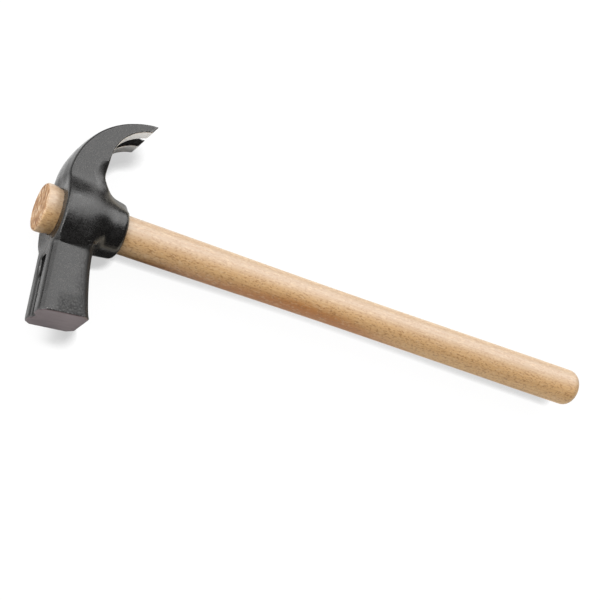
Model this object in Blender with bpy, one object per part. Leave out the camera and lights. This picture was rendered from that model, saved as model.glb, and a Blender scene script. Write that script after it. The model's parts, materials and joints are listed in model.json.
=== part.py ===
"""Curved claw hammer: a forged head on a turned handle that is pushed through its tapered eye.

The model is laid out with X along the handle from the top of the head to the butt, Y from the
striking face to the claw and Z out of the cheek, with X = 0 at the top of the eye and Y = Z = 0 on
the handle's axis. The hammer lies on its side. All lengths are in metres. The last step moves the
whole hammer so that the origin is below the middle of its box.
"""

import math

import bmesh
import bpy
from mathutils import Vector

# Handle: a stick turned about X, thickest where it stands out above the head
HANDLE_LENGTH = 0.400
GRIP_LENGTH = 0.1954
STUB_HEIGHT = 0.0096
STUB_END_RADIUS = 0.0153
STUB_SWELL_RADIUS = 0.0157
STUB_ROUND = 0.0020
STUB_RIM_TURN = math.radians(72)
EYE_TOP_RADIUS = 0.0140
EYE_BOTTOM_RADIUS = 0.0124
WAIST_RADIUS = 0.0117
BUTT_RADIUS = 0.01235
BUTT_ROUND = 0.0072
BUTT_CROWN = 0.0006
BUTT_FLAT_SHARE = 1 / 3

# Poll: the square, chamfered hammering end
POLL_LENGTH = 0.0426
POLL_WIDTH = 0.0320
POLL_CHAMFER = 0.0041
POLL_RISE = 0.0008
FACE_MIDDLE = 0.0154
FACE_TILT = math.radians(5.7)
FACE_LENGTH = 0.0322
FACE_BEVEL = 0.0007
NECK_DEPTH = 0.0257
NECK_STRAIGHT = 0.0023
UNDERSIDE_FILLET = 0.0038
FLARE_POWER = 1.6

# Eye: a barrel from bulging cheeks down to a round collar
BOSS_WIDTH = 0.0488
BOSS_PEAK = -0.0020
BOSS_FADE = 0.0280
BARREL_TURN = 0.0190
BARREL_CURVE = 0.65
RIM_CHAMFER = 0.0008
TOP_BLEND = 0.0060
COLLAR_DEPTH = 0.0435
COLLAR_WALL = 0.0044
COLLAR_FLARE = 0.13
COLLAR_ROUND = 0.0040
COLLAR_ROOT = 0.0060

# Claw: a curved plate that thins and widens towards two tips
CLAW_START = 0.0205
CLAW_BACK_RADIUS = 0.0496
CLAW_BACK_DEPTH = 0.0004
CLAW_SWEEP = math.radians(89.4)
CLAW_TIP_THICKNESS = 0.0054
CLAW_END_CUT = 0.0036
CLAW_ROOT_WIDTH = 0.0304
CLAW_TIP_WIDTH = 0.0348
CLAW_EDGE = 0.0006
CLAW_CROWN = 0.0024
CROWN_FADE = 2
HOOK_DEPTH = 0.0234
HOOK_STRAIGHT = 0.0085
ROOT_FILLET = 0.0107
ROOT_ROUND = 0.0095
ROOT_FALL = 0.0030
WEB_RISE = 0.0006
WEB_STOP = 0.0002
WEB_ROUND = 0.0030
WEB_EDGE_WIDTH = 0.0160
SLOT_DEPTH = 0.0400
SLOT_TIP_WIDTH = 0.0094
SLOT_ROOT_WIDTH = 0.0026
SLOT_BEVEL = math.radians(18)

# Nail holder along the top of the poll
GROOVE_WIDTH = 0.0080
GROOVE_DEPTH = 0.0028
POCKET_SETBACK = 0.0048
POCKET_LENGTH = 0.0125
POCKET_WIDTH = 0.0094
POCKET_DEPTH = 0.0052
POCKET_CORNER = 0.0030
MAGNET_THICKNESS = 0.0024

# Clearance between pieces that touch, and how far a cutter reaches past what it cuts
GAP = 0.0003
CUT_MARGIN = 0.0060

# How finely the shapes are cut
TURNED_SEGMENTS = 48
POLL_STATIONS = 8
BOSS_STATIONS = 10
CLAW_STATIONS = 26
SLOT_STATIONS = 14
CHEEK_STEPS = 7
ARC_STEPS = 8
LONG_ARC_STEPS = 32
STUB_STEPS = 4
GRIP_STEPS = 8
SMOOTH_ANGLE = math.radians(32)

# The largest share of a side that one of its round corners takes
CORNER_LIMIT = 0.45


def mix(start, end, share):
    """Return the value that lies a share of the way from start to end."""
    return start + (end - start) * share


def clamp(value):
    """Keep a share between 0 and 1."""
    return min(1.0, max(0.0, value))


def ease(share):
    """Return a share that starts and stops gently."""
    return 0.5 - 0.5 * math.cos(math.pi * share)


def arc_points(centre, radius, start_angle, end_angle, steps=ARC_STEPS):
    """Return points along an arc in a plane, both ends included."""
    points = []
    for step in range(steps + 1):
        angle = mix(start_angle, end_angle, step / steps)
        points.append(centre + radius * Vector((math.cos(angle), math.sin(angle))))
    return points


def resample(points, count):
    """Return count points spaced evenly along a polyline."""
    lengths = [0.0]
    for first, second in zip(points, points[1:]):
        lengths.append(lengths[-1] + (second - first).length)
    even = []
    index = 0
    for step in range(count):
        target = lengths[-1] * step / (count - 1)
        while index < len(points) - 2 and lengths[index + 1] < target:
            index += 1
        share = (target - lengths[index]) / (lengths[index + 1] - lengths[index])
        even.append(points[index].lerp(points[index + 1], share))
    return even


def solid_from_rings(rings):
    """Return a closed bmesh whose skin joins a row of equal loops, with both ends filled."""
    mesh = bmesh.new()
    rows = [[mesh.verts.new(point) for point in ring] for ring in rings]
    for first, second in zip(rows, rows[1:]):
        for index in range(len(first)):
            after = (index + 1) % len(first)
            mesh.faces.new((first[index], first[after], second[after], second[index]))
    mesh.faces.new(rows[0][::-1])
    mesh.faces.new(rows[-1])
    bmesh.ops.recalc_face_normals(mesh, faces=mesh.faces)
    return mesh


def turned_solid(profile):
    """Return a closed bmesh of a profile of (x, radius) points turned about X."""
    rings = []
    for x, radius in profile:
        ring = []
        for step in range(TURNED_SEGMENTS):
            angle = 2 * math.pi * step / TURNED_SEGMENTS
            ring.append(Vector((x, radius * math.cos(angle), radius * math.sin(angle))))
        rings.append(ring)
    return solid_from_rings(rings)


def rounded_block(low_x, high_x, low_y, high_y, width, corner):
    """Return a block along X whose four long edges are round, with Z = 0 in its middle."""
    corner = min(corner, CORNER_LIMIT * width, CORNER_LIMIT * (high_y - low_y))
    half = width / 2 - corner
    centres = [
        Vector((high_y - corner, half)),
        Vector((low_y + corner, half)),
        Vector((low_y + corner, -half)),
        Vector((high_y - corner, -half)),
    ]
    outline = []
    for turn, centre in enumerate(centres):
        start = turn * math.pi / 2
        outline += arc_points(centre, corner, start, start + math.pi / 2)
    return solid_from_rings([[Vector((x, y, z)) for y, z in outline] for x in (low_x, high_x)])


def make_material(name, colour, roughness, metallic):
    """Return a Principled material."""
    material = bpy.data.materials.new(name)
    material.use_nodes = True
    shader = material.node_tree.nodes["Principled BSDF"]
    shader.inputs["Base Color"].default_value = (*colour, 1.0)
    shader.inputs["Roughness"].default_value = roughness
    shader.inputs["Metallic"].default_value = metallic
    return material


def make_object(name, mesh, root, material=None):
    """Turn a bmesh into a smooth-shaded object under the root."""
    data = bpy.data.meshes.new(name)
    mesh.to_mesh(data)
    mesh.free()
    data.shade_smooth()
    data.set_sharp_from_angle(angle=SMOOTH_ANGLE)
    if material is not None:
        data.materials.append(material)
    body = bpy.data.objects.new(name, data)
    bpy.context.scene.collection.objects.link(body)
    body.parent = root
    return body


def combine(body, name, mesh, operation):
    """Join a shape to a body, or cut it out, with a Boolean and a hidden operand."""
    operand = make_object(name, mesh, body.parent)
    operand.hide_render = True
    operand.display_type = "WIRE"
    modifier = body.modifiers.new(name, "BOOLEAN")
    modifier.object = operand
    modifier.operation = operation
    modifier.solver = "EXACT"


# Handle


def eye_radius(x):
    """Return the handle's radius where it passes through the head: a straight taper."""
    return mix(EYE_TOP_RADIUS, EYE_BOTTOM_RADIUS, x / COLLAR_DEPTH)


def stub_profile():
    """Return the end above the head: a flat end, a rounded rim and a swelling side."""
    rim_centre = Vector((STUB_ROUND - STUB_HEIGHT, STUB_END_RADIUS - STUB_ROUND))
    profile = arc_points(rim_centre, STUB_ROUND, math.pi, math.pi - STUB_RIM_TURN, STUB_STEPS)
    start = profile[-1]
    swell = STUB_SWELL_RADIUS - max(start.y, EYE_TOP_RADIUS)
    for step in range(1, STUB_STEPS):
        share = step / STUB_STEPS
        radius = mix(start.y, EYE_TOP_RADIUS, share) + swell * math.sin(math.pi * share)
        profile.append(Vector((mix(start.x, 0.0, share), radius)))
    return profile


def grip_profile():
    """Return the handle below the head: in to a waist, out to the butt, and a domed end."""
    butt = HANDLE_LENGTH - STUB_HEIGHT
    waist = butt - GRIP_LENGTH
    round_centre = Vector((butt - BUTT_CROWN - BUTT_ROUND, BUTT_RADIUS - BUTT_ROUND))
    profile = []
    for step in range(1, GRIP_STEPS + 1):
        share = step / GRIP_STEPS
        x = mix(COLLAR_DEPTH, waist, share)
        profile.append(Vector((x, mix(EYE_BOTTOM_RADIUS, WAIST_RADIUS, ease(share)))))
    for step in range(1, GRIP_STEPS):
        share = step / GRIP_STEPS
        x = mix(waist, round_centre.x, share)
        profile.append(Vector((x, mix(WAIST_RADIUS, BUTT_RADIUS, ease(share)))))
    profile += arc_points(round_centre, BUTT_ROUND, math.pi / 2, 0.0)
    profile.append(Vector((butt, round_centre.y * BUTT_FLAT_SHARE)))
    return profile


def make_handle(root):
    """Make the beech stick."""
    in_eye = [Vector((x, eye_radius(x))) for x in (0.0, COLLAR_DEPTH / 2, COLLAR_DEPTH)]
    beech = make_material("beech", (0.72, 0.50, 0.29), 0.45, 0.0)
    make_object("handle", turned_solid(stub_profile() + in_eye + grip_profile()), root, beech)


# Head: a plate that runs from the striking face through the eye to the claw's tips


def collar_end():
    """Return where the collar's cone stops and its end starts to round off."""
    return COLLAR_DEPTH - COLLAR_ROUND


def collar_radius(x):
    """Return the radius of the collar's cone, which keeps its wall where its end rounds off."""
    end_radius = EYE_BOTTOM_RADIUS + GAP + COLLAR_WALL
    return end_radius + COLLAR_FLARE * (collar_end() - x)


def neck_distance():
    """Return how far the crease between the eye and the poll is from the handle's axis."""
    return collar_radius(NECK_DEPTH + UNDERSIDE_FILLET) + UNDERSIDE_FILLET + NECK_STRAIGHT


def web_end():
    """Return the outer corner of the web under the claw, where it meets the collar's end."""
    return Vector((COLLAR_DEPTH - WEB_STOP, collar_radius(collar_end()) + WEB_RISE))


def root_fillet():
    """Return the fillet between the web and the claw, no larger than the web has room for."""
    return min(ROOT_FILLET, web_end().x - WEB_ROUND - HOOK_DEPTH)


def fillet_middle():
    """Return the centre of the fillet between the web and the claw."""
    return Vector((HOOK_DEPTH + root_fillet(), web_end().y + root_fillet()))


def web_fade(point):
    """Return 0 at the web's outer corner and 1 where its fillet ends."""
    return clamp((point.y - web_end().y) / root_fillet())


def face_point(along, inward):
    """Return a point by its distance along the face from its middle and its depth behind it."""
    middle = Vector((FACE_MIDDLE, -neck_distance() - POLL_LENGTH))
    along_axis = Vector((math.cos(FACE_TILT), math.sin(FACE_TILT)))
    inward_axis = Vector((-math.sin(FACE_TILT), math.cos(FACE_TILT)))
    return middle + along_axis * along + inward_axis * inward


def poll_top(y):
    """Return the height of the poll's top, which runs straight from the neck to the face."""
    edge = face_point(-FACE_LENGTH / 2, 0.0)
    return mix(-POLL_RISE, edge.x, (y + neck_distance()) / (edge.y + neck_distance()))


def section(outer, inner, half_width, outer_cut, inner_cut, crown=0.0):
    """Return one closed cross-section between a point of the back and one of the inner edge.

    half_width gives the distance from the middle plane to the cheek at a point of the plate, the
    cuts chamfer the cheek's two edges, and the crown is how far the back's middle stands out.
    """
    across = (inner - outer).normalized()
    first = outer + across * outer_cut
    last = inner - across * inner_cut
    cheek = [(outer, half_width(outer) - outer_cut)]
    for step in range(CHEEK_STEPS + 1):
        point = first.lerp(last, step / CHEEK_STEPS)
        cheek.append((point, half_width(point)))
    cheek.append((inner, half_width(inner) - inner_cut))
    near = [Vector((point.x, point.y, height)) for point, height in cheek]
    far = [Vector((point.x, point.y, -height)) for point, height in reversed(cheek)]
    back = []
    for side in (-0.5, 0.0, 0.5):
        point = outer - across * crown * (1 - side ** 2)
        back.append(Vector((point.x, point.y, side * cheek[0][1])))
    return near + far + back


def poll_sections():
    """Return the sections from the bevelled striking face to the neck."""
    half_length = FACE_LENGTH / 2
    inset_cut = POLL_CHAMFER - FACE_BEVEL * (2 - math.sqrt(2))
    sections = [section(
        face_point(FACE_BEVEL - half_length, 0.0),
        face_point(half_length - FACE_BEVEL, 0.0),
        lambda point: POLL_WIDTH / 2 - FACE_BEVEL,
        inset_cut,
        inset_cut,
    )]
    top = face_point(-half_length, FACE_BEVEL)
    underside = face_point(half_length, FACE_BEVEL)
    for step in range(POLL_STATIONS):
        share = step / POLL_STATIONS
        top_y = mix(top.y, -neck_distance(), share)
        flare = (underside.x - NECK_DEPTH) * (1 - share) ** FLARE_POWER
        sections.append(section(
            Vector((poll_top(top_y), top_y)),
            Vector((NECK_DEPTH + flare, mix(underside.y, -neck_distance(), share))),
            lambda point: POLL_WIDTH / 2,
            POLL_CHAMFER,
            POLL_CHAMFER,
        ))
    return sections


def barrel_sink(point, height):
    """Return how far the cheek bends down to the collar's round end and to the web's edge."""
    radius = collar_radius(collar_end())
    low = math.sqrt(max(0.0, radius ** 2 - point.y ** 2))
    if point.y > 0.0:
        low = max(low, WEB_EDGE_WIDTH / 2)
    from_neck = ease(clamp((point.y + neck_distance()) / (neck_distance() - radius)))
    along = ease(clamp((point.x - BARREL_TURN) / (collar_end() - BARREL_TURN)))
    return max(0.0, height - low) * along * from_neck * (1 - web_fade(point))


def root_rounding(point):
    """Return how far the cheek falls off to the claw's inner edge, at its root."""
    across = clamp((point.x - HOOK_DEPTH) / ROOT_ROUND + 1)
    along = clamp(1 - abs(point.y - fillet_middle().y) / root_fillet())
    return ROOT_FALL * across ** 2 * ease(along)


def cheek_height(point, plate):
    """Return the cheek's height in the eye and the claw, for a plate of the given half width."""
    along = max(0.0, point.x - RIM_CHAMFER) / (collar_end() - RIM_CHAMFER)
    fall = (BOSS_WIDTH / 2 - collar_radius(collar_end())) * mix(along, along ** 2, BARREL_CURVE)
    bulge = max(0.0, BOSS_WIDTH / 2 - plate - fall)
    if point.y < BOSS_PEAK:
        bulge_share = 1 - clamp((BOSS_PEAK - point.y) / (BOSS_PEAK + neck_distance())) ** 2
    else:
        bulge_share = 1 - ease(clamp((point.y - BOSS_PEAK) / BOSS_FADE))
    height = plate + bulge * bulge_share
    return height - barrel_sink(point, height) - root_rounding(point)


def eye_sections():
    """Return the sections from the neck to the root of the claw."""
    neck = -neck_distance()
    fillet_centre = Vector((NECK_DEPTH + UNDERSIDE_FILLET, neck + NECK_STRAIGHT))
    path = [Vector((NECK_DEPTH, neck))]
    path += arc_points(fillet_centre, UNDERSIDE_FILLET, math.pi, math.pi / 2)
    path += arc_points(web_end() - Vector((WEB_ROUND, WEB_ROUND)), WEB_ROUND, 0.0, math.pi / 2)
    path.append(Vector((fillet_middle().x, web_end().y)))
    inners = resample(path, 2 * BOSS_STATIONS + 1)
    sections = []
    for step in range(2 * BOSS_STATIONS):
        share = step / (2 * BOSS_STATIONS)
        if step < BOSS_STATIONS:
            y = mix(neck, BOSS_PEAK, 2 * share)
        else:
            y = mix(BOSS_PEAK, CLAW_START, 2 * share - 1)
        from_neck = clamp((y - neck) / TOP_BLEND)
        to_claw = clamp(1 - (CLAW_START - y) / TOP_BLEND)
        plate = mix(POLL_WIDTH, CLAW_ROOT_WIDTH, share) / 2
        sections.append(section(
            Vector((CLAW_BACK_DEPTH * to_claw - POLL_RISE * (1 - from_neck), y)),
            inners[step],
            lambda point: cheek_height(point, plate),
            mix(POLL_CHAMFER, RIM_CHAMFER, from_neck),
            mix(POLL_CHAMFER, CLAW_EDGE, share),
            CLAW_CROWN * to_claw,
        ))
    return sections


def claw_edges():
    """Return matching points along the claw's back and along its hooked inner edge."""
    back_centre = Vector((CLAW_BACK_DEPTH + CLAW_BACK_RADIUS, CLAW_START))
    back = arc_points(back_centre, CLAW_BACK_RADIUS, math.pi, math.pi - CLAW_SWEEP, LONG_ARC_STEPS)
    inner_tip = back[-1] - Vector((CLAW_END_CUT, CLAW_TIP_THICKNESS))
    hook_start = Vector((HOOK_DEPTH, fillet_middle().y + HOOK_STRAIGHT))
    chord = inner_tip - hook_start
    hook_radius = chord.length_squared / (2 * chord.x)
    hook_centre = hook_start + Vector((hook_radius, 0.0))
    hook_end = math.acos((inner_tip.x - hook_centre.x) / hook_radius)
    inner = arc_points(fillet_middle(), root_fillet(), math.pi * 1.5, math.pi, LONG_ARC_STEPS)
    inner += arc_points(hook_centre, hook_radius, math.pi, hook_end, LONG_ARC_STEPS)
    count = CLAW_STATIONS + 1
    return resample(back, count), resample(inner, count)


def claw_sections():
    """Return the sections from the root of the claw to its tips."""
    sections = []
    for step, (outer, inner) in enumerate(zip(*claw_edges())):
        share = step / CLAW_STATIONS
        plate = mix(CLAW_ROOT_WIDTH, CLAW_TIP_WIDTH, share) / 2
        sections.append(section(
            outer,
            inner,
            lambda point: cheek_height(point, plate),
            CLAW_EDGE,
            CLAW_EDGE,
            CLAW_CROWN * (1 - share) ** CROWN_FADE,
        ))
    return sections


def collar_shape():
    """Return the round collar, from inside the eye down to its rounded end."""
    profile = [Vector((COLLAR_ROOT, collar_radius(COLLAR_ROOT)))]
    round_centre = Vector((collar_end(), collar_radius(collar_end()) - COLLAR_ROUND))
    profile += arc_points(round_centre, COLLAR_ROUND, math.pi / 2, 0.0)
    return turned_solid(profile)


def eye_cutter():
    """Return the tapered hole that the handle fits with a small clearance."""
    ends = (-CUT_MARGIN, COLLAR_DEPTH + CUT_MARGIN)
    return turned_solid([Vector((x, eye_radius(x) + GAP)) for x in ends])


def point_along(points, position):
    """Return the point at a position in a row of points, which may lie between two of them."""
    index = min(int(position), len(points) - 2)
    return points[index].lerp(points[index + 1], position - index)


def slot_root(middles):
    """Return the position of the slot's root in a row of points that ends at the claw's tip."""
    distances = [(middles[-1] - middle).length for middle in middles]
    index = max(step for step, distance in enumerate(distances) if distance >= SLOT_DEPTH)
    return index + (distances[index] - SLOT_DEPTH) / (distances[index] - distances[index + 1])


def slot_cutter():
    """Return the wedge between the claw's tips, which opens towards the tips and the inner edge."""
    backs, inners = claw_edges()
    root = slot_root([outer.lerp(inner, 0.5) for outer, inner in zip(backs, inners)])
    rings = []
    for step in range(SLOT_STATIONS + 1):
        share = step / SLOT_STATIONS
        position = mix(root, CLAW_STATIONS, share)
        outer = point_along(backs, position)
        inner = point_along(inners, position)
        across = (inner - outer).normalized()
        half = mix(SLOT_ROOT_WIDTH, SLOT_TIP_WIDTH, share) / 2
        reach = (inner - outer).length + CUT_MARGIN
        wide = half + math.tan(SLOT_BEVEL) * share * reach
        near = [(-CUT_MARGIN, half), (0.0, half), (reach, wide)]
        far = [(depth, -height) for depth, height in reversed(near)]
        ring = []
        for depth, height in near + far:
            place = outer + across * depth
            ring.append(Vector((place.x, place.y, height)))
        rings.append(ring)
    past_tip = (backs[-1] - backs[-2]).normalized() * CUT_MARGIN
    rings.append([point + Vector((past_tip.x, past_tip.y, 0.0)) for point in rings[-1]])
    return solid_from_rings(rings)


def pocket_span(clearance):
    """Return the pocket's two ends along Y, drawn in by a clearance."""
    high = -neck_distance() - POCKET_SETBACK
    return high - POCKET_LENGTH + clearance, high - clearance


def pocket_floor():
    """Return the depth of the pocket's floor, measured from the poll's top at its middle."""
    return poll_top(sum(pocket_span(0.0)) / 2) + POCKET_DEPTH


def pocket_block(low_x, high_x, clearance):
    """Return a block with the outline of the pocket, smaller by a clearance all round."""
    width = POCKET_WIDTH - 2 * clearance
    return rounded_block(low_x, high_x, *pocket_span(clearance), width, POCKET_CORNER - clearance)


def groove_cutter():
    """Return the round rod that leaves a shallow nail groove from the face to the pocket."""
    radius = (GROOVE_WIDTH ** 2 / 4 + GROOVE_DEPTH ** 2) / (2 * GROOVE_DEPTH)
    ends = (face_point(0.0, 0.0).y - CUT_MARGIN, sum(pocket_span(0.0)) / 2)
    rings = []
    for y in ends:
        axis = Vector((poll_top(y) + GROOVE_DEPTH - radius, 0.0))
        circle = arc_points(axis, radius, 0.0, 2 * math.pi, LONG_ARC_STEPS)[:-1]
        rings.append([Vector((x, y, z)) for x, z in circle])
    return solid_from_rings(rings)


def make_head(root):
    """Make the forging with its eye, its slot and its nail holder."""
    paint = make_material("black_paint", (0.028, 0.028, 0.029), 0.38, 0.0)
    plate = solid_from_rings(poll_sections() + eye_sections() + claw_sections())
    head = make_object("hammer_head", plate, root, paint)
    pocket = pocket_block(pocket_floor() - POCKET_DEPTH - CUT_MARGIN, pocket_floor(), 0.0)
    combine(head, "collar", collar_shape(), "UNION")
    combine(head, "eye_cutter", eye_cutter(), "DIFFERENCE")
    combine(head, "slot_cutter", slot_cutter(), "DIFFERENCE")
    combine(head, "groove_cutter", groove_cutter(), "DIFFERENCE")
    combine(head, "pocket_cutter", pocket, "DIFFERENCE")


def make_magnet(root):
    """Make the block that lies at the bottom of the pocket and holds a nail."""
    bottom = pocket_floor() - GAP
    steel = make_material("magnet_steel", (0.16, 0.16, 0.17), 0.45, 1.0)
    make_object("nail_magnet", pocket_block(bottom - MAGNET_THICKNESS, bottom, GAP), root, steel)


def lay_on_origin(root):
    """Move the hammer so that the origin is below the middle of its box."""
    depsgraph = bpy.context.evaluated_depsgraph_get()
    corners = []
    for body in root.children:
        if not body.hide_render:
            evaluated = body.evaluated_get(depsgraph)
            corners += [body.matrix_world @ vertex.co for vertex in evaluated.data.vertices]
    low = [min(corner[axis] for corner in corners) for axis in range(3)]
    high = [max(corner[axis] for corner in corners) for axis in range(3)]
    root.location = (-(low[0] + high[0]) / 2, -(low[1] + high[1]) / 2, -low[2])


def main():
    """Build the hammer in an empty scene."""
    for old in list(bpy.data.objects):
        bpy.data.objects.remove(old, do_unlink=True)
    root = bpy.data.objects.new("hammer", None)
    bpy.context.scene.collection.objects.link(root)
    make_head(root)
    make_handle(root)
    make_magnet(root)
    lay_on_origin(root)


main()
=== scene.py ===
"""Looks of the curved claw hammer: a painted forging on a turned beech handle, on a pale floor.

Everything is in metres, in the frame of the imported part: +X runs along the handle from the head to
the butt, +Y from the striking face to the claw and +Z up, with the hammer lying on its side.
"""

import json
import math

import bmesh
import bpy
import numpy as np
from mathutils import Matrix, Vector, noise


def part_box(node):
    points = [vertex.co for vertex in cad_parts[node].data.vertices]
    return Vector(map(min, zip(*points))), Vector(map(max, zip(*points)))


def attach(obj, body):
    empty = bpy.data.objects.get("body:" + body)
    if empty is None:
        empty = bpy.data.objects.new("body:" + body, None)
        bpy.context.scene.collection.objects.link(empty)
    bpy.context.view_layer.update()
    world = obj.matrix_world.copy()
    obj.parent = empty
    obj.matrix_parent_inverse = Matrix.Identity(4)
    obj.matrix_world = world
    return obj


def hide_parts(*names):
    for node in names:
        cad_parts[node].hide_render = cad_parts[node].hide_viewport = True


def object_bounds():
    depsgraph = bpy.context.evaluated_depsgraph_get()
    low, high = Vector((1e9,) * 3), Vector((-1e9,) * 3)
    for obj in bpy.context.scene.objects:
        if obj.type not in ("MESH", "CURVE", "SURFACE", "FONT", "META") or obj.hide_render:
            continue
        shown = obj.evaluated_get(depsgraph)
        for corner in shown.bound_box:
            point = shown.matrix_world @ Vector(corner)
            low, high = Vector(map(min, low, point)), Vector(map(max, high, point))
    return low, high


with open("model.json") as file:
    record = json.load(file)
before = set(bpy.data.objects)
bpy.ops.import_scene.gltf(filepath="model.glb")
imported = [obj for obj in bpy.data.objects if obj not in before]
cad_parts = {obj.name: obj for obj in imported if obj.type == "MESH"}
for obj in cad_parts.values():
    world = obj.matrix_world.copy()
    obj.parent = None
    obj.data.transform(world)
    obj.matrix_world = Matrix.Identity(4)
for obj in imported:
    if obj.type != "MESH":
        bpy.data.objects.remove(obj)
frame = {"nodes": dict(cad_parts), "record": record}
cad_low, cad_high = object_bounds()

# What the frame gives: the head's top, the handle's middle, the striking face and the openings
head_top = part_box("hammer_head")[0].x
handle_middle = sum(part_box("handle"), Vector()) / 2
mounts = {mount["name"]: mount for mount in frame["record"]["mounts"]}
openings = {entry["name"]: np.array(entry["box_m"]) for entry in frame["record"]["physics"]["openings"]}
striking_face = mounts["striking_face"]

# Head: an even skin over the solid, with soft edges. A share is how far a vertex goes towards its
# neighbours in one step, and a blur is the length over which a region fades
SKIN_VOXEL = 0.00045
WELD_DISTANCE = 0.000002
SOFTEN_STEPS = 8
SOFTEN_SHARE = 0.60
SWELL_SHARE = -0.57
REGION_BLUR = 0.005

# Head: where the barrel blends into its collar and its web, down from the head's top and out from
# the handle's middle
FORGED_STEPS = 90
FORGED_START = 0.016
FORGED_STOP = 0.037
FORGED_REACH = 0.027
FORGED_SIDE = 0.013
WEB_SIDE = 0.006
WEB_REACH = 0.012

# Head: the hollow beside the web, which is filled where the skin faces up or down enough
FILL_ROUNDS = 16
FILL_STEPS = 30
FILL_START = 0.020
FILL_SIDE = 0.003
FILL_FACING = 0.20
FILL_FACING_BLUR = 0.20

# Head: the rounded lower side of the poll, short of the crisp rim of its face
UNDER_STEPS = 60
UNDER_START = 0.012
UNDER_SIDE = 0.026
CRISP_DEPTH = 0.0030

# Head: the rounded edges of the claw's back, known by how far they stand out and where they face
BACK_STEPS = 40
BACK_DIRECTION = (-0.75, 0.66, 0.0)
BACK_FACING = 0.10
BACK_FACING_BLUR = 0.15
BACK_EDGE = 0.15
BACK_EDGE_BLUR = 0.20
BACK_STOP = 0.036
BACK_BLUR = 0.010
EDGE_STEPS = 8
EDGE_HEIGHT = 0.00010

# Head: a faintly hammered skin, and the claw's ground inner edges, which start short of its slot box
HAMMERED_HEIGHT = 0.00005
HAMMERED_LENGTH = 0.0075
GROUND_LEAD = 0.016
GROUND_BLUR = 0.008
GROUND_FACING = 0.55
GROUND_FACING_BLUR = 0.20

# Handle: finer rings than the solid has, whose own rings are told apart by their rounded place
RING_DIGITS = 6
HANDLE_SEGMENTS = 144
PROFILE_CUTS = 2
CUT_SHARE = 0.25
CAP_RINGS = 5

# Paint: how strongly it mirrors, its colours, and how rough it is. A bump is a height and a strength,
# and a pair of limits says where a pattern starts and stops fading
PAINT_GLOSS = 0.45
PAINT_COLOURS = ((0.0030, 0.0029, 0.0029), (0.0070, 0.0066, 0.0064))
PAINT_MOTTLE = dict(scale=160.0, detail=3.0)
PAINT_GRAIN = dict(scale=1100.0, detail=3.0, roughness=0.6)
PAINT_PEEL = dict(scale=420.0, detail=2.0)
PAINT_ROUGHNESS = (0.17, 0.36)
ROUGHNESS_LIMITS = (0.6, 1.4)
PEEL_BUMP = (0.00010, 0.35)
GRAIN_BUMP = (0.00008, 0.45)
GLITTER_COLOUR = (0.048, 0.047, 0.046)
GLITTER_LIMITS = (0.52, 0.58)
GLITTER_METAL = 0.9
CHIP_COLOUR = (0.110, 0.107, 0.105)
CHIP_FLAKES = dict(scale=900.0, detail=4.0, roughness=0.65)
CHIP_LIMITS = (0.44, 0.60)
CHIP_METAL = 0.6

# Paint: where the poll is scuffed, close to its face and along its lower side, it is dull in specks.
# Depths are behind the face and drops are below the head's top
SCUFF_DEPTHS = (0.006, 0.024)
SCUFF_TOP_DROPS = (0.005, 0.014)
SCUFF_SIDE_DROPS = (0.011, 0.027)
SCUFF_ENDS = (0.040, 0.052)
SCUFF_ROUGHNESS = 0.72
SCUFF_SPECKS = dict(scale=950.0, detail=4.0, roughness=0.7)
SPECK_LIMITS = (0.36, 0.60)
SPECK_SHARES = (0.50, 1.0)

# Bare steel: the depth behind the face's plane where the paint starts, how softly, and two finishes
BARE_DEPTH = 0.00045
BARE_BLUR = 0.00010
STEEL_GRIND = dict(scale=700.0, detail=3.0, stretch=(0.12, 1.0, 1.0))
FACE_COLOURS = ((0.130, 0.104, 0.107), (0.200, 0.164, 0.168))
GROUND_COLOURS = ((0.62, 0.62, 0.61), (0.78, 0.78, 0.77))
STEEL_ROUGHNESS = 0.46

# Beech: how strongly its oiled skin mirrors, and the pith's place beside the handle's middle, which
# sets how the growth rings run. Heartwood and sapwood start and stop at a radius from the pith, and
# the heartwood is bowed away from one place along the handle. The pith lies off the handle's side
# towards -Y and -Z, away from the light, so the dark red heartwood colour there is also painted
# shade, and the greyer sapwood colour on the opposite, lit side is also painted light
WOOD_GLOSS = 0.65
WOOD_ROUGHNESS = (0.34, 0.52)
PITH_OFFSET = (-0.044, -0.020)
HEART_AND_SHADE_RADII = (0.041, 0.052)
HEART_AND_SHADE_PLACE = -0.040
HEART_AND_SHADE_LENGTH = 0.080
HEART_AND_SHADE_BOW = 0.005
SAP_AND_LIGHT_RADII = (0.050, 0.060)
RING_SPACING = 0.0024
RING_SWAY = dict(scale=20.0, detail=3.0, stretch=(0.35, 1.6, 1.6))
RING_SWAY_WIDTH = 0.0060
HEART_AND_SHADE_CLOUD = dict(scale=45.0, detail=3.0, stretch=(0.25, 1.0, 1.0))
HEART_AND_SHADE_CLOUD_WIDTH = 0.012
NOISE_MIDDLE = 0.5
PLAIN_COLOUR = (0.455, 0.285, 0.135)
SAP_AND_LIGHT_COLOUR = (0.335, 0.247, 0.168)
HEART_AND_SHADE_COLOUR = (0.310, 0.105, 0.018)

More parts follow.
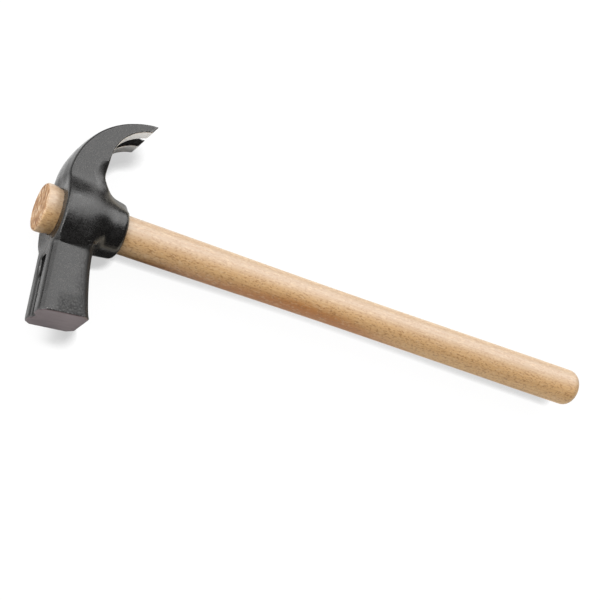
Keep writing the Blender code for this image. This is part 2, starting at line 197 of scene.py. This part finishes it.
# Beech: the late wood of each ring, fibres and flecks. A share is how strongly a colour covers
LATE_COLOUR = (0.262, 0.132, 0.046)
LATE_LIMITS = (0.35, 0.95)
LATE_SHARE = 0.18
FIBRES = dict(scale=1500.0, detail=3.0, roughness=0.6, stretch=(0.030, 1.0, 1.0))
FIBRE_COLOUR = (0.244, 0.116, 0.038)
FIBRE_LIMITS = (0.42, 0.72)
FIBRE_SHARE = 0.18
FIBRE_ROUGH_LIMITS = (0.2, 0.8)
FIBRE_BUMP = (0.00012, 0.35)
PALE_FLECKS = dict(scale=760.0, detail=2.0, stretch=(0.40, 1.0, 1.0))
PALE_FLECK_COLOUR = (0.500, 0.370, 0.240)
PALE_FLECK_LIMITS = (0.52, 0.68)
PALE_FLECK_SHARE = 0.35
DARK_FLECKS = dict(scale=1050.0, detail=2.0, stretch=(0.50, 1.0, 1.0))
DARK_FLECK_COLOUR = (0.190, 0.085, 0.027)
DARK_FLECK_LIMITS = (0.52, 0.64)
DARK_FLECK_SHARE = 0.62
SAP_AND_LIGHT_FLECK_SHARE = 0.28
DARK_FLECK_BUMP = (0.00008, -0.25)

# Beech: the sawn ends, where the surface faces along the handle
END_LIMITS = (0.55, 0.95)
END_MARKS = dict(scale=900.0, detail=3.0, roughness=0.6, stretch=(1.0, 0.16, 1.0))
END_DARK_LIMITS = (0.40, 0.54)
END_GLINT_LIMITS = (0.56, 0.64)
END_DARK_COLOUR = (0.150, 0.064, 0.022)
END_COLOUR = (0.320, 0.180, 0.080)
END_GLINT_COLOUR = (0.560, 0.450, 0.330)
END_ROUGHNESS = 0.9

# Magnet: dark, granular and dull
MAGNET_GRAIN = dict(scale=1800.0, detail=4.0, roughness=0.7)
MAGNET_COLOURS = ((0.012, 0.012, 0.013), (0.050, 0.048, 0.047))
MAGNET_METAL = 0.7
MAGNET_ROUGHNESS = (0.45, 0.70)
MAGNET_LIMITS = (0.2, 0.8)
MAGNET_BUMP = (0.00006, 0.5)

# Camera, placed as in the photograph: a point, what it looks at, its roll and its lens
CAMERA_PLACE = (-0.42807, -0.40319, 0.88144)
CAMERA_TARGET = (-0.01940, -0.00351, 0.02440)
CAMERA_ROLL = math.radians(59.32)
CAMERA_LENS = 96.0
CAMERA_SENSOR = 36.0
CAMERA_NEAR = 0.01

# Table: what the eye sees is white with a painted close shadow, which fades out under the top of the
# head. What the hammer mirrors is painted light and shade: a painted bounce, paler under the handle
# than beside the head, a painted shadow in a patch beside the collar and one under the claw's tips,
# each given by its middle and by where it starts and stops fading, and dark past its edge
FLOOR_SIZE = 8.0
FLOOR_LIFT = 0.0001
FLOOR_ROUGHNESS = 0.9
FLOOR_GLOSS = 0.1
FLOOR_SEEN_COLOUR = (0.040, 0.040, 0.040)
FLOOR_GLOW = 0.95
FLOOR_GLOW_COLOUR = (1.0, 1.0, 1.0, 1.0)
CONTACT_REACH = 0.0134
CONTACT_FULL = 0.12
CONTACT_SHADE = 0.42
CONTACT_START = -0.185
CONTACT_BLUR = 0.030
HEAD_BOUNCE = (0.58, 0.58, 0.58)
HANDLE_BOUNCE = (0.76, 0.69, 0.56)
SHADE_BOUNCE = (0.08, 0.08, 0.08)
HANDLE_START = -0.130
HANDLE_BLUR = 0.060
SHADOW_PATCHES = (
    ((-0.130, -0.045, 0.0), 0.028, 0.040),
    ((-0.150, 0.055, 0.0), 0.010, 0.024),
)
TABLE_MIDDLE = (0.0, 0.0, 0.0)
TABLE_RADII = (0.32, 0.45)

# Studio: a dark room. A wide diffuser fills the part of the sky that lies inside two edges, each
# given by the direction that points into the light from it, and the lamp tube behind it makes a
# brighter arc, given by the axis of that arc and its half width
DIFFUSER_EDGES = ((-0.606, 0.774, 0.181), (0.05, -0.36, 0.93))
DIFFUSER_BLUR = 0.09
DIFFUSER_COLOUR = (3.60, 3.60, 3.60)
TUBE_AXIS = (-0.909, 0.286, 0.300)
TUBE_WIDTH = 0.07
TUBE_COLOUR = (7.00, 7.00, 7.00)
ROOM_COLOUR = (0.060, 0.058, 0.056)
BACKDROP_COLOUR = (1.02, 1.02, 1.02)


# Node helpers


class Shading:
    """The node tree of a material or a world, with short calls to add nodes and links."""

    VALUE_OPERATIONS = ("DOT_PRODUCT", "DISTANCE", "LENGTH")

    def __init__(self, owner, shader):
        owner.use_nodes = True
        self.owner = owner
        self.tree = owner.node_tree
        self.shader = self.tree.nodes[shader]
        self.places = self.node("ShaderNodeTexCoord").outputs
        self.coordinates = self.places["Object"]

    def node(self, kind, **settings):
        """Add a node and set its own settings."""
        made = self.tree.nodes.new(kind)
        for setting, value in settings.items():
            setattr(made, setting, value)
        return made

    def feed(self, socket, value):
        """Link an output to a socket, or set the socket's own value."""
        if isinstance(value, bpy.types.NodeSocket):
            self.tree.links.new(value, socket)
        else:
            socket.default_value = value

    def math(self, operation, first, second=0.0, third=0.0):
        """Return the output of a math node."""
        made = self.node("ShaderNodeMath", operation=operation)
        for socket, value in zip(made.inputs, (first, second, third)):
            self.feed(socket, value)
        return made.outputs[0]

    def vector(self, operation, first, second=(0.0, 0.0, 0.0)):
        """Return the output of a vector math node, which for some operations is a value."""
        made = self.node("ShaderNodeVectorMath", operation=operation)
        self.feed(made.inputs[0], first)
        self.feed(made.inputs[1], second)
        return made.outputs["Value" if operation in self.VALUE_OPERATIONS else "Vector"]

    def part(self, vector, axis):
        """Return a vector's part along one axis."""
        made = self.node("ShaderNodeSeparateXYZ")
        self.feed(made.inputs[0], vector)
        return made.outputs[axis]

    def attribute(self, name):
        """Return a value that the mesh holds for each vertex."""
        return self.node("ShaderNodeAttribute", attribute_name=name).outputs["Fac"]

    def seen(self):
        """Return 1 for what the eye sees directly and 0 for what the hammer sees."""
        return self.node("ShaderNodeLightPath").outputs["Is Camera Ray"]

    def noise(self, scale, detail, roughness=0.5, stretch=(1.0, 1.0, 1.0)):
        """Return a noise value on the object's coordinates, stretched along its axes."""
        made = self.node("ShaderNodeTexNoise")
        self.feed(made.inputs["Vector"], self.vector("MULTIPLY", self.coordinates, stretch))
        made.inputs["Scale"].default_value = scale
        made.inputs["Detail"].default_value = detail
        made.inputs["Roughness"].default_value = roughness
        return made.outputs["Fac"]

    def span(self, value, low, high, to_low=0.0, to_high=1.0):
        """Return a value mapped smoothly from one range to another, and held there."""
        made = self.node("ShaderNodeMapRange", interpolation_type="SMOOTHSTEP")
        for socket, given in zip(made.inputs, (value, low, high, to_low, to_high)):
            self.feed(socket, given)
        return made.outputs["Result"]

    def blend(self, share, first, second):
        """Return a colour between two colours."""
        made = self.node("ShaderNodeMix", data_type="RGBA")
        self.feed(made.inputs["Factor"], share)
        colours = [socket for socket in made.inputs if socket.type == "RGBA"]
        for socket, colour in zip(colours, (first, second)):
            self.feed(socket, colour if isinstance(colour, bpy.types.NodeSocket) else (*colour, 1.0))
        return next(socket for socket in made.outputs if socket.type == "RGBA")

    def bump(self, height, distance, strength, below=None):
        """Return a normal raised by a height, on top of another bump if there is one."""
        made = self.node("ShaderNodeBump")
        made.inputs["Strength"].default_value = strength
        made.inputs["Distance"].default_value = distance
        self.feed(made.inputs["Height"], height)
        if below is not None:
            self.feed(made.inputs["Normal"], below)
        return made.outputs["Normal"]

    def set(self, **values):
        """Set the shader's inputs by name, with _ for a space."""
        for name, value in values.items():
            self.feed(self.shader.inputs[name.replace("_", " ")], value)


# Materials


def new_material(name):
    """Return the shading of a new material."""
    return Shading(bpy.data.materials.new(name), "Principled BSDF")


def scuffed_share(paint, depth):
    """Return how scuffed the paint is, by the depth behind the face and the drop below the top."""
    drop = paint.math("SUBTRACT", paint.part(paint.coordinates, "X"), head_top)
    near_face = paint.span(depth, *SCUFF_DEPTHS, 1.0, 0.0)
    near_face = paint.math("MULTIPLY", near_face, paint.span(drop, *SCUFF_TOP_DROPS))
    scuffed = paint.math("MAXIMUM", near_face, paint.span(drop, *SCUFF_SIDE_DROPS))
    scuffed = paint.math("MULTIPLY", scuffed, paint.span(depth, *SCUFF_ENDS, 1.0, 0.0))
    specks = paint.span(paint.noise(**SCUFF_SPECKS), *SPECK_LIMITS, *SPECK_SHARES)
    return paint.math("MULTIPLY", scuffed, specks)


def painted_steel():
    """Return the head's finish: black paint, chipped at the edges and scuffed, and bare steel."""
    paint = new_material("black_paint_worn")
    normal = Vector(striking_face["axis"])
    reach = normal.dot(Vector(striking_face["pos_m"]))
    depth = paint.math("SUBTRACT", reach, paint.vector("DOT_PRODUCT", paint.coordinates, tuple(normal)))
    grain = paint.noise(**PAINT_GRAIN)
    mottle = paint.noise(**PAINT_MOTTLE)
    glitter = paint.span(grain, *GLITTER_LIMITS)
    flaked = paint.math("MULTIPLY", paint.attribute("edge"), paint.noise(**CHIP_FLAKES))
    chips = paint.span(flaked, *CHIP_LIMITS)
    glittered = paint.blend(glitter, paint.blend(mottle, *PAINT_COLOURS), GLITTER_COLOUR)
    chipped = paint.blend(chips, glittered, CHIP_COLOUR)
    grind = paint.noise(**STEEL_GRIND)
    ground = paint.attribute("ground")
    steel = paint.blend(ground, paint.blend(grind, *FACE_COLOURS), paint.blend(grind, *GROUND_COLOURS))
    bare_face = paint.span(depth, BARE_DEPTH - BARE_BLUR, BARE_DEPTH + BARE_BLUR, 1.0, 0.0)
    bare = paint.math("MAXIMUM", bare_face, ground)
    chip_metal = paint.math("MULTIPLY", chips, CHIP_METAL)
    paint_metal = paint.math("MAXIMUM", chip_metal, paint.math("MULTIPLY", glitter, GLITTER_METAL))
    even_paint = paint.span(paint.math("ADD", mottle, grain), *ROUGHNESS_LIMITS, *PAINT_ROUGHNESS)
    scuffs = paint.math("MULTIPLY", scuffed_share(paint, depth), SCUFF_ROUGHNESS)
    rough_paint = paint.math("MAXIMUM", even_paint, scuffs)
    rough_cover = paint.math("MULTIPLY", rough_paint, paint.math("SUBTRACT", 1.0, bare))
    peel = paint.bump(paint.noise(**PAINT_PEEL), *PEEL_BUMP)
    paint.set(
        Base_Color=paint.blend(bare, chipped, steel),
        Metallic=paint.math("MAXIMUM", bare, paint_metal),
        Roughness=paint.math("MULTIPLY_ADD", bare, STEEL_ROUGHNESS, rough_cover),
        Specular_IOR_Level=PAINT_GLOSS,
        Normal=paint.bump(grain, *GRAIN_BUMP, peel),
    )
    return paint.owner


def ring_radius(wood):
    """Return the distance from the pith, with the slow sway of growth rings."""
    pith = (0.0, handle_middle.y + PITH_OFFSET[0], handle_middle.z + PITH_OFFSET[1])
    across = wood.vector("MULTIPLY", wood.vector("SUBTRACT", wood.coordinates, pith), (0.0, 1.0, 1.0))
    distance = wood.vector("LENGTH", across)
    return wood.math("MULTIPLY_ADD", wood.noise(**RING_SWAY), RING_SWAY_WIDTH, distance)


def heart_and_shade_share(wood, radius):
    """Return 0 in the dark heart of the wood, which lies on the side away from the light and also
    paints shade there, and 1 outside it.
    """
    from_place = wood.math("SUBTRACT", wood.part(wood.coordinates, "X"), HEART_AND_SHADE_PLACE)
    past = wood.math("DIVIDE", from_place, HEART_AND_SHADE_LENGTH)
    bowed = wood.math("MULTIPLY_ADD", wood.math("MULTIPLY", past, past), HEART_AND_SHADE_BOW, radius)
    cloud = wood.math("SUBTRACT", wood.noise(**HEART_AND_SHADE_CLOUD), NOISE_MIDDLE)
    return wood.span(wood.math("MULTIPLY_ADD", cloud, HEART_AND_SHADE_CLOUD_WIDTH, bowed), *HEART_AND_SHADE_RADII)


def sawn_end(wood):
    """Return the colour of the sawn ends, with dark marks and painted glints."""
    marks = wood.noise(**END_MARKS)
    dark = wood.blend(wood.span(marks, *END_DARK_LIMITS), END_DARK_COLOUR, END_COLOUR)
    # The pale glint streaks are painted highlights on the sawn end
    return wood.blend(wood.span(marks, *END_GLINT_LIMITS), dark, END_GLINT_COLOUR)


def beech():
    """Return turned beech: growth rings about a pith beside the handle, fibres and ray flecks."""
    wood = new_material("beech_oiled")
    radius = ring_radius(wood)
    late = wood.span(wood.math("FRACT", wood.math("DIVIDE", radius, RING_SPACING)), *LATE_LIMITS)
    fibre = wood.noise(**FIBRES)
    dark_fleck = wood.span(wood.noise(**DARK_FLECKS), *DARK_FLECK_LIMITS)
    pale_fleck = wood.span(wood.noise(**PALE_FLECKS), *PALE_FLECK_LIMITS)
    # Sapwood on the lit side and heartwood on the side away from the light: real wood colours, which
    # also paint light and shade
    sap_and_light = wood.span(radius, *SAP_AND_LIGHT_RADII)
    plain = wood.blend(sap_and_light, PLAIN_COLOUR, SAP_AND_LIGHT_COLOUR)
    heart_shaded = wood.blend(heart_and_shade_share(wood, radius), HEART_AND_SHADE_COLOUR, plain)
    ringed = wood.blend(wood.math("MULTIPLY", late, LATE_SHARE), heart_shaded, LATE_COLOUR)
    streaked = wood.blend(wood.span(fibre, *FIBRE_LIMITS, 0.0, FIBRE_SHARE), ringed, FIBRE_COLOUR)
    lit = wood.blend(wood.math("MULTIPLY", pale_fleck, PALE_FLECK_SHARE), streaked, PALE_FLECK_COLOUR)
    # Dark flecks are stronger off the sapwood, which adds painted shade on the side away from the light
    strength = wood.span(sap_and_light, 0.0, 1.0, DARK_FLECK_SHARE, SAP_AND_LIGHT_FLECK_SHARE)
    flecked = wood.blend(wood.math("MULTIPLY", dark_fleck, strength), lit, DARK_FLECK_COLOUR)
    facing = wood.math("ABSOLUTE", wood.part(wood.places["Normal"], "X"))
    end_grain = wood.span(facing, *END_LIMITS)
    smooth = wood.span(fibre, *FIBRE_ROUGH_LIMITS, *WOOD_ROUGHNESS)
    wood.set(
        Base_Color=wood.blend(end_grain, flecked, sawn_end(wood)),
        Roughness=wood.math("MAXIMUM", smooth, wood.math("MULTIPLY", end_grain, END_ROUGHNESS)),
        Specular_IOR_Level=WOOD_GLOSS,
        Normal=wood.bump(fibre, *FIBRE_BUMP, wood.bump(dark_fleck, *DARK_FLECK_BUMP)),
    )
    return wood.owner


def sintered_magnet():
    """Return the magnet's finish."""
    magnet = new_material("magnet_dark")
    grain = magnet.noise(**MAGNET_GRAIN)
    magnet.set(
        Base_Color=magnet.blend(grain, *MAGNET_COLOURS),
        Metallic=MAGNET_METAL,
        Roughness=magnet.span(grain, *MAGNET_LIMITS, *MAGNET_ROUGHNESS),
        Normal=magnet.bump(grain, *MAGNET_BUMP),
    )
    return magnet.owner


# Head


def mesh_array(items, key, width, kind):
    """Return one value of every item of a mesh as an array with a row for each."""
    values = np.zeros(len(items) * width, kind)
    items.foreach_get(key, values)
    return values.reshape(-1, width)


def ramp(values, start, blur):
    """Return 0 below a start and 1 a blur above it, with an even slope between."""
    return np.clip((values - start) / blur, 0, 1)


class Skin:
    """A mesh whose vertices are moved as arrays, with a row for each vertex."""

    def __init__(self, mesh):
        self.mesh = mesh
        self.places = mesh_array(mesh.vertices, "co", 3, np.float32).astype(float)
        self.edges = mesh_array(mesh.edges, "vertices", 2, np.int32)
        self.counts = np.bincount(self.edges.ravel(), minlength=len(self.places)).astype(float)

    def neighbour_mean(self, values):
        """Return the mean of the values at each vertex's neighbours."""
        ends = self.edges.ravel()
        others = self.edges[:, ::-1].ravel()
        sums = [np.bincount(ends, column, len(values)) for column in values[others].T]
        return np.stack(sums, axis=1) / self.counts[:, None]

    def softened(self, values, shares, steps):
        """Return values moved towards their neighbours in turns, or away where a share is negative."""
        for _ in range(steps):
            for share in shares:
                values = values + share * (self.neighbour_mean(values) - values)
        return values

    def soften(self, share, steps):
        """Move each vertex towards its neighbours by its own share of the usual step."""
        self.places = self.softened(self.places, (SOFTEN_SHARE * share[:, None],), steps)

    def write(self):
        """Put the vertices into the mesh."""
        self.mesh.vertices.foreach_set("co", self.places.astype(np.float32).ravel())
        self.mesh.update()

    def normals(self):
        """Put the vertices into the mesh and return their normals."""
        self.write()
        return mesh_array(self.mesh.vertex_normals, "vector", 3, np.float32)

    def edge_share(self, normals):
        """Return how far each vertex stands out, from 0 on a flat to 1 on an edge."""
        bulge = self.places - self.softened(self.places, (SOFTEN_SHARE,), EDGE_STEPS)
        return np.clip((bulge * normals).sum(axis=1) / EDGE_HEIGHT, 0, 1)


def forged_share(places):
    """Return 1 where the barrel blends into its collar and its web, and 0 elsewhere."""
    drop = places[:, 0] - head_top
    side = places[:, 1] - handle_middle.y
    off_middle = np.hypot(side, places[:, 2] - handle_middle.z)
    web = WEB_REACH * ramp(side, WEB_SIDE, REGION_BLUR)
    share = ramp(drop, FORGED_START, REGION_BLUR)
    share = share * (1 - ramp(drop - web, FORGED_STOP - REGION_BLUR, REGION_BLUR))
    share = share * (1 - ramp(-side, FORGED_SIDE, REGION_BLUR))
    return share * (1 - ramp(off_middle, FORGED_REACH - REGION_BLUR, REGION_BLUR))


def web_share(places, normals):
    """Return 1 on the cheek between the collar and the web's edge, and 0 elsewhere."""
    share = ramp(places[:, 0] - head_top, FILL_START, REGION_BLUR)
    share = share * ramp(places[:, 1] - handle_middle.y, FILL_SIDE, REGION_BLUR)
    return share * ramp(np.abs(normals[:, 2]), FILL_FACING, FILL_FACING_BLUR)


def underside_share(places, depth):
    """Return 1 on the lower half of the poll, short of its striking face, and 0 elsewhere."""
    share = ramp(places[:, 0] - head_top, UNDER_START, REGION_BLUR)
    share = share * ramp(handle_middle.y - places[:, 1], UNDER_SIDE - REGION_BLUR, REGION_BLUR)
    return share * ramp(depth, CRISP_DEPTH / 2, CRISP_DEPTH)


def back_share(places, normals, edge):
    """Return 1 along the edges of the claw's back, short of its tips, and 0 elsewhere."""
    share = ramp(edge, BACK_EDGE, BACK_EDGE_BLUR)
    share = share * ramp(normals @ np.array(BACK_DIRECTION), BACK_FACING, BACK_FACING_BLUR)
    return share * (1 - ramp(places[:, 0] - head_top, BACK_STOP, BACK_BLUR))


def ground_share(places, normals):
    """Return 1 on the inner edges of the claw's two tips and 0 elsewhere."""
    inward = openings["claw_hook"].mean(axis=0) - places
    inward[:, 2] = 0.0
    inward /= np.linalg.norm(inward, axis=1)[:, None]
    share = ramp((normals * inward).sum(axis=1), GROUND_FACING, GROUND_FACING_BLUR)
    slot_low = openings["claw_slot"][0]
    return share * ramp(places[:, 1], slot_low[1] - GROUND_LEAD, GROUND_BLUR)


def fill_hollow(skin):
    """Fill the hollow beside the web towards a smooth blend."""
    for _ in range(FILL_ROUNDS):
        normals = skin.normals()
        share = SOFTEN_SHARE * web_share(skin.places, normals)
        for _ in range(FILL_STEPS):
            pull = skin.neighbour_mean(skin.places) - skin.places
            rise = np.maximum(0.0, (pull * normals).sum(axis=1))
            skin.places = skin.places + (share * rise)[:, None] * normals


def forge(skin, depth):
    """Round the skin the way a forging is rounded."""
    skin.places = skin.softened(skin.places, (SOFTEN_SHARE, SWELL_SHARE), SOFTEN_STEPS)
    skin.soften(forged_share(skin.places), FORGED_STEPS)
    fill_hollow(skin)
    skin.soften(underside_share(skin.places, depth), UNDER_STEPS)
    normals = skin.normals()
    back = back_share(skin.places, normals, skin.edge_share(normals))[:, None]
    skin.soften(skin.softened(back, (SOFTEN_SHARE,), EDGE_STEPS)[:, 0], BACK_STEPS)


def even_skin(node, name):
    """Return a new object whose skin of even quads follows a CAD node."""
    mesh = bmesh.new()
    mesh.from_mesh(frame["nodes"][node].data)
    bmesh.ops.remove_doubles(mesh, verts=mesh.verts, dist=WELD_DISTANCE)
    rough = bpy.data.meshes.new(name)
    mesh.to_mesh(rough)
    mesh.free()
    piece = bpy.data.objects.new(name, rough)
    bpy.context.scene.collection.objects.link(piece)
    remesh = piece.modifiers.new("even_skin", "REMESH")
    remesh.mode = "VOXEL"
    remesh.voxel_size = SKIN_VOXEL
    evaluated = piece.evaluated_get(bpy.context.evaluated_depsgraph_get())
    piece.data = bpy.data.meshes.new_from_object(evaluated)
    piece.modifiers.clear()
    return piece


def make_head():
    """Make the forging with soft edges, a faintly uneven skin and values for its finish."""
    head = even_skin("hammer_head", "forged_head")
    skin = Skin(head.data)
    depth = (np.array(striking_face["pos_m"]) - skin.places) @ np.array(striking_face["axis"])
    forge(skin, depth)
    normals = skin.normals()
    edge = skin.edge_share(normals)
    waves = np.array([noise.noise(Vector(place) / HAMMERED_LENGTH) for place in skin.places])
    lift = HAMMERED_HEIGHT * (waves - 1) * ramp(depth, 0.0, CRISP_DEPTH)
    uneven = skin.places + lift[:, None] * normals
    skin.places = np.clip(uneven, np.array(cad_low), np.array(cad_high))
    skin.write()
    for name, values in (("edge", edge), ("ground", ground_share(skin.places, normals))):
        attribute = head.data.attributes.new(name, "FLOAT", "POINT")
        attribute.data.foreach_set("value", values.astype(np.float32))
    head.data.shade_smooth()
    head.data.materials.clear()
    head.data.materials.append(painted_steel())
    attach(head, "root")
    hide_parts("hammer_head")


# Handle


def handle_profile():
    """Return the CAD handle's rings as (x, radius), from the stub to the butt."""
    rings = {}
    for vertex in frame["nodes"]["handle"].data.vertices:
        x = round(vertex.co.x, RING_DIGITS)
        radius = math.hypot(vertex.co.y - handle_middle.y, vertex.co.z - handle_middle.z)
        rings[x] = max(radius, rings.get(x, 0.0))
    return [Vector(ring) for ring in sorted(rings.items())]


def corners_cut(profile):
    """Return a profile with each corner cut off."""
    cut = [profile[0]]
    for first, second in zip(profile, profile[1:]):
        cut += [first.lerp(second, CUT_SHARE), first.lerp(second, 1 - CUT_SHARE)]
    return cut + [profile[-1]]


def turned_rows():
    """Return the handle's rings as (x, radius), with rings across its two ends."""
    profile = handle_profile()
    for _ in range(PROFILE_CUTS):
        profile = corners_cut(profile)
    caps = [step / CAP_RINGS for step in range(1, CAP_RINGS)]
    first = [Vector((profile[0].x, profile[0].y * share)) for share in caps]
    last = [Vector((profile[-1].x, profile[-1].y * share)) for share in reversed(caps)]
    return first + profile + last


def make_handle():
    """Make the turned stick."""
    mesh = bmesh.new()
    rows = []
    for x, radius in turned_rows():
        row = []
        for step in range(HANDLE_SEGMENTS):
            angle = 2 * math.pi * step / HANDLE_SEGMENTS
            y = handle_middle.y + radius * math.cos(angle)
            z = handle_middle.z + radius * math.sin(angle)
            row.append(mesh.verts.new((x, y, z)))
        rows.append(row)
    for row, after in zip(rows, rows[1:]):
        for step in range(HANDLE_SEGMENTS):
            turn = (step + 1) % HANDLE_SEGMENTS
            mesh.faces.new((row[step], row[turn], after[turn], after[step]))
    mesh.faces.new(rows[0][::-1])
    mesh.faces.new(rows[-1])
    bmesh.ops.recalc_face_normals(mesh, faces=mesh.faces)
    data = bpy.data.meshes.new("turned_handle")
    mesh.to_mesh(data)
    mesh.free()
    data.shade_smooth()
    data.materials.append(beech())
    handle = bpy.data.objects.new("turned_handle", data)
    bpy.context.scene.collection.objects.link(handle)
    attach(handle, "root")
    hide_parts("handle")


def finish_magnet():
    """Give the magnet's CAD node its finish."""
    node = frame["nodes"]["nail_magnet"]
    node.data.materials.clear()
    node.data.materials.append(sintered_magnet())


# Studio


def table_bounce(finish, x):
    """Return the colour of the table as the hammer sees it, with painted bounce light and painted
    shadows.
    """
    along = finish.span(x, HANDLE_START, HANDLE_START + HANDLE_BLUR)
    bounce = finish.blend(along, HEAD_BOUNCE, HANDLE_BOUNCE)
    # Painted shadow patches on the table, seen only in what the hammer mirrors
    for place, start, stop in SHADOW_PATCHES:
        outside = finish.span(finish.vector("DISTANCE", finish.coordinates, place), start, stop)
        bounce = finish.blend(outside, SHADE_BOUNCE, bounce)
    from_middle = finish.vector("DISTANCE", finish.coordinates, TABLE_MIDDLE)
    return finish.blend(finish.span(from_middle, *TABLE_RADII), bounce, SHADE_BOUNCE)


def table_glow(finish, x):
    """Return how brightly the table glows to the eye, with the shadow close to the hammer."""
    contact = finish.node("ShaderNodeAmbientOcclusion")
    contact.inputs["Distance"].default_value = CONTACT_REACH
    open_share = finish.span(contact.outputs["AO"], 1.0 - CONTACT_FULL, 1.0)
    under = finish.span(x, CONTACT_START, CONTACT_START + CONTACT_BLUR)
    shade = finish.math("MULTIPLY", finish.math("SUBTRACT", 1.0, open_share), under)
    return finish.span(shade, 0.0, 1.0, FLOOR_GLOW, FLOOR_GLOW * (1.0 - CONTACT_SHADE))


def make_floor():
    """Make the pale table."""
    mesh = bmesh.new()
    bmesh.ops.create_grid(mesh, x_segments=1, y_segments=1, size=FLOOR_SIZE / 2)
    data = bpy.data.meshes.new("floor")
    mesh.to_mesh(data)
    mesh.free()
    finish = new_material("pale_floor")
    seen = finish.seen()
    x = finish.part(finish.coordinates, "X")
    finish.set(
        Base_Color=finish.blend(seen, table_bounce(finish, x), FLOOR_SEEN_COLOUR),
        Roughness=FLOOR_ROUGHNESS,
        Specular_IOR_Level=FLOOR_GLOSS,
        Emission_Color=FLOOR_GLOW_COLOUR,
        Emission_Strength=finish.math("MULTIPLY", seen, table_glow(finish, x)),
    )
    data.materials.append(finish.owner)
    floor = bpy.data.objects.new("floor", data)
    floor.location.z = cad_low.z + FLOOR_LIFT
    bpy.context.scene.collection.objects.link(floor)


def light_studio():
    """Light the hammer with a wide diffuser, and show a pale backdrop beyond the table."""
    studio = Shading(bpy.data.worlds.new("studio"), "Background")
    sky = studio.places["Generated"]
    lit = 1.0
    for edge in DIFFUSER_EDGES:
        inside = studio.vector("DOT_PRODUCT", sky, edge)
        lit = studio.math("MULTIPLY", lit, studio.span(inside, -DIFFUSER_BLUR, DIFFUSER_BLUR))
    off_tube = studio.math("ABSOLUTE", studio.vector("DOT_PRODUCT", sky, TUBE_AXIS))
    diffuser = studio.blend(studio.span(off_tube, 0.0, TUBE_WIDTH), TUBE_COLOUR, DIFFUSER_COLOUR)
    light = studio.blend(lit, ROOM_COLOUR, diffuser)
    studio.set(Color=studio.blend(studio.seen(), light, BACKDROP_COLOUR))
    bpy.context.scene.world = studio.owner
    bpy.context.scene.view_settings.view_transform = "Standard"


def make_camera():
    """Place the camera as in the photograph."""
    data = bpy.data.cameras.new("camera")
    data.lens = CAMERA_LENS
    data.sensor_width = CAMERA_SENSOR
    data.clip_start = CAMERA_NEAR
    camera = bpy.data.objects.new("camera", data)
    aim = (Vector(CAMERA_TARGET) - Vector(CAMERA_PLACE)).to_track_quat("-Z", "Y").to_matrix()
    turn = aim @ Matrix.Rotation(CAMERA_ROLL, 3, "Z")
    camera.matrix_world = Matrix.LocRotScale(Vector(CAMERA_PLACE), turn, None)
    bpy.context.scene.collection.objects.link(camera)
    bpy.context.scene.camera = camera


make_head()
make_handle()
finish_magnet()
make_floor()
light_studio()
make_camera()
